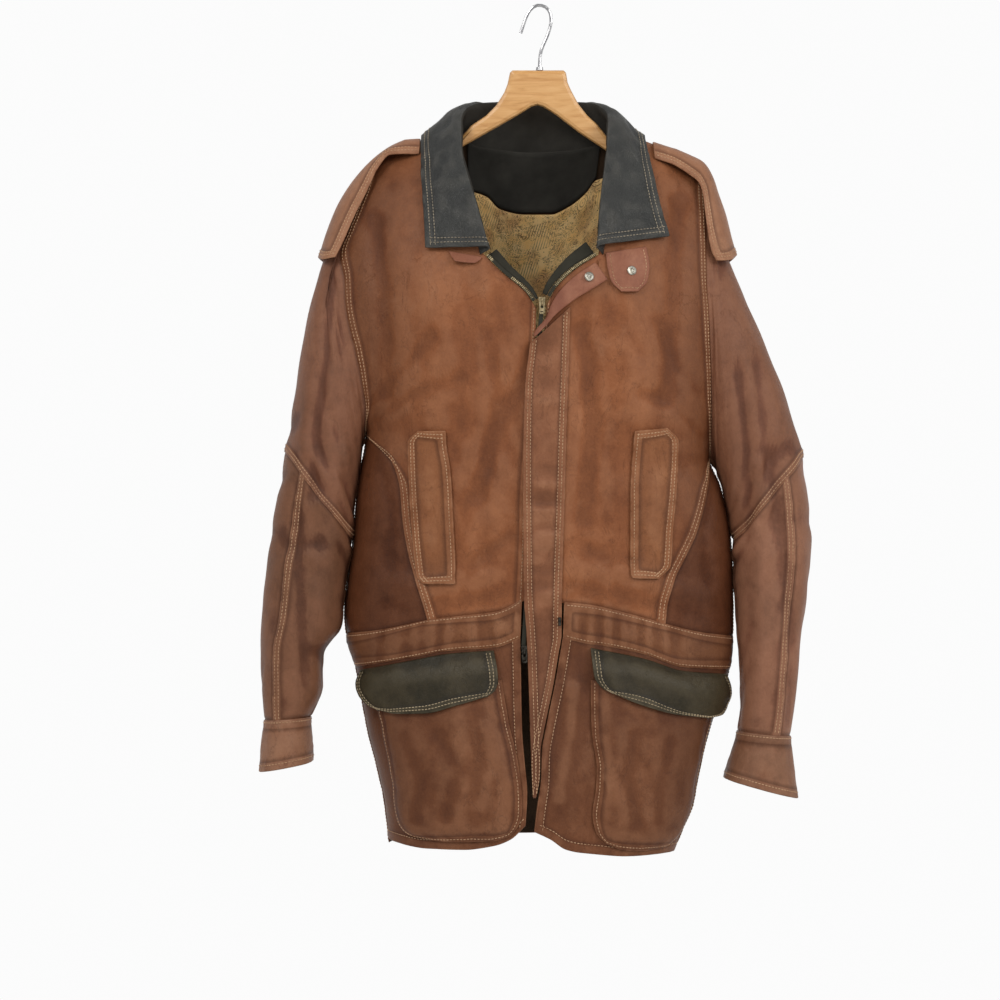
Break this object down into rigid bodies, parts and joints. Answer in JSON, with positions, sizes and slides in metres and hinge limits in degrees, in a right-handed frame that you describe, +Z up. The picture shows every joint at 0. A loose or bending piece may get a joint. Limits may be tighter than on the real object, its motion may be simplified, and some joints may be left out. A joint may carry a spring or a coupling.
{
  "type": "leather coat on a hanger",
  "caption": "Worn hip-length leather coat with a dark fold-over collar, zip front under a fly, patch pockets with dark flaps and shoulder straps, hung on a wooden hanger.",
  "frame": {"origin": "inside of the hook's crown, where a rail lies", "axes": "+Z up, -Y out of the coat's front, +X to the right of someone who looks at the front"},
  "size_m": [0.665, 0.1927, 1.0247],
  "materials": {
    "back": "worn, matt",
    "front_left": "worn, matt",
    "front_right": "worn, matt",
    "side_left": "worn, matt",
    "side_right": "worn, matt",
    "waistband_left": "worn, matt",
    "waistband_right": "worn, matt",
    "waistband_back": "worn, matt",
    "skirt_front_left": "worn, matt",
    "skirt_front_right": "worn, matt",
    "skirt_back": "worn, matt",
    "sleeve_top_left": "worn, matt",
    "sleeve_under_left": "worn, matt",
    "forearm_front_left": "worn, matt",
    "forearm_back_left": "worn, matt",
    "cuff_left": "worn, matt",
    "sleeve_top_right": "worn, matt",
    "sleeve_under_right": "worn, matt",
    "forearm_front_right": "worn, matt",
    "forearm_back_right": "worn, matt",
    "cuff_right": "worn, matt",
    "collar": "worn, matt",
    "collar_tab": "worn, matt",
    "throat_tab": "worn, matt",
    "shoulder_strap_left": "worn, matt",
    "shoulder_strap_right": "worn, matt",
    "fly_flap": "worn, matt",
    "fly_turned_back": "worn, matt",
    "zip_chain": "aged",
    "zip_teeth_left": "aged",
    "zip_teeth_right": "aged",
    "zip_facing_left": "woven",
    "zip_facing_right": "woven",
    "zip_slider_top": "aged",
    "zip_slider_bottom": "aged",
    "zip_pull_top": "aged",
    "zip_pull_bottom": "aged",
    "chest_welt_left": "worn, matt",
    "chest_welt_right": "worn, matt",
    "pocket_bag_left": "worn, matt",
    "pocket_bag_right": "worn, matt",
    "pocket_flap_left": "worn, matt",
    "pocket_flap_right": "worn, matt",
    "neck_facing": "woven",
    "lining": "woven",
    "fly_stud": "polished",
    "throat_stud": "polished",
    "drawcord_tip": "aged",
    "hanger": "satin lacquer",
    "hook_ferrule": "polished",
    "hanger_hook": "polished"
  },
  "bodies": {
    "coat": {"back": "back", "front_left": "front_left", "front_right": "front_right", "side_left": "side_left", "side_right": "side_right", "waistband_left": "waistband_left", "waistband_right": "waistband_right", "waistband_back": "waistband_back", "skirt_front_left": "skirt_front_left", "skirt_front_right": "skirt_front_right", "skirt_back": "skirt_back", "sleeve_top_left": "sleeve_top_left", "sleeve_under_left": "sleeve_under_left", "forearm_front_left": "forearm_front_left", "forearm_back_left": "forearm_back_left", "cuff_left": "cuff_left", "sleeve_top_right": "sleeve_top_right", "sleeve_under_right": "sleeve_under_right", "forearm_front_right": "forearm_front_right", "forearm_back_right": "forearm_back_right", "cuff_right": "cuff_right", "collar": "collar", "collar_tab": "collar_tab", "throat_tab": "throat_tab", "shoulder_strap_left": "shoulder_strap_left", "shoulder_strap_right": "shoulder_strap_right", "fly_flap": "fly_flap", "fly_turned_back": "fly_turned_back", "zip_chain": "zip_chain", "zip_teeth_left": "zip_teeth_left", "zip_teeth_right": "zip_teeth_right", "zip_facing_left": "zip_facing_left", "zip_facing_right": "zip_facing_right", "zip_slider_top": "zip_slider_top", "zip_slider_bottom": "zip_slider_bottom", "chest_welt_left": "chest_welt_left", "chest_welt_right": "chest_welt_right", "pocket_bag_left": "pocket_bag_left", "pocket_bag_right": "pocket_bag_right", "pocket_flap_left": "pocket_flap_left", "pocket_flap_right": "pocket_flap_right", "neck_facing": "neck_facing", "lining": "lining", "fly_stud": "fly_stud", "throat_stud": "throat_stud", "drawcord_tip": "drawcord_tip", "hanger": "hanger", "hook_ferrule": "hook_ferrule", "hanger_hook": "hanger_hook"},
    "zip_pull_top": {"zip_pull_top": "zip_pull_top"},
    "zip_pull_bottom": {"zip_pull_bottom": "zip_pull_bottom"}
  },
  "joints": [
    {"name": "pull_top_hinge", "type": "hinge", "parent": "coat", "child": "zip_pull_top", "pos_m": [0.0018, -0.11116, -0.3632], "axis": [-1, 0, 0], "range_deg": [0, 150]},
    {"name": "pull_bottom_hinge", "type": "hinge", "parent": "coat", "child": "zip_pull_bottom", "pos_m": [-0.0188, -0.10075, -0.7772], "axis": [-1, 0, 0], "range_deg": [0, 150]}
  ]
}
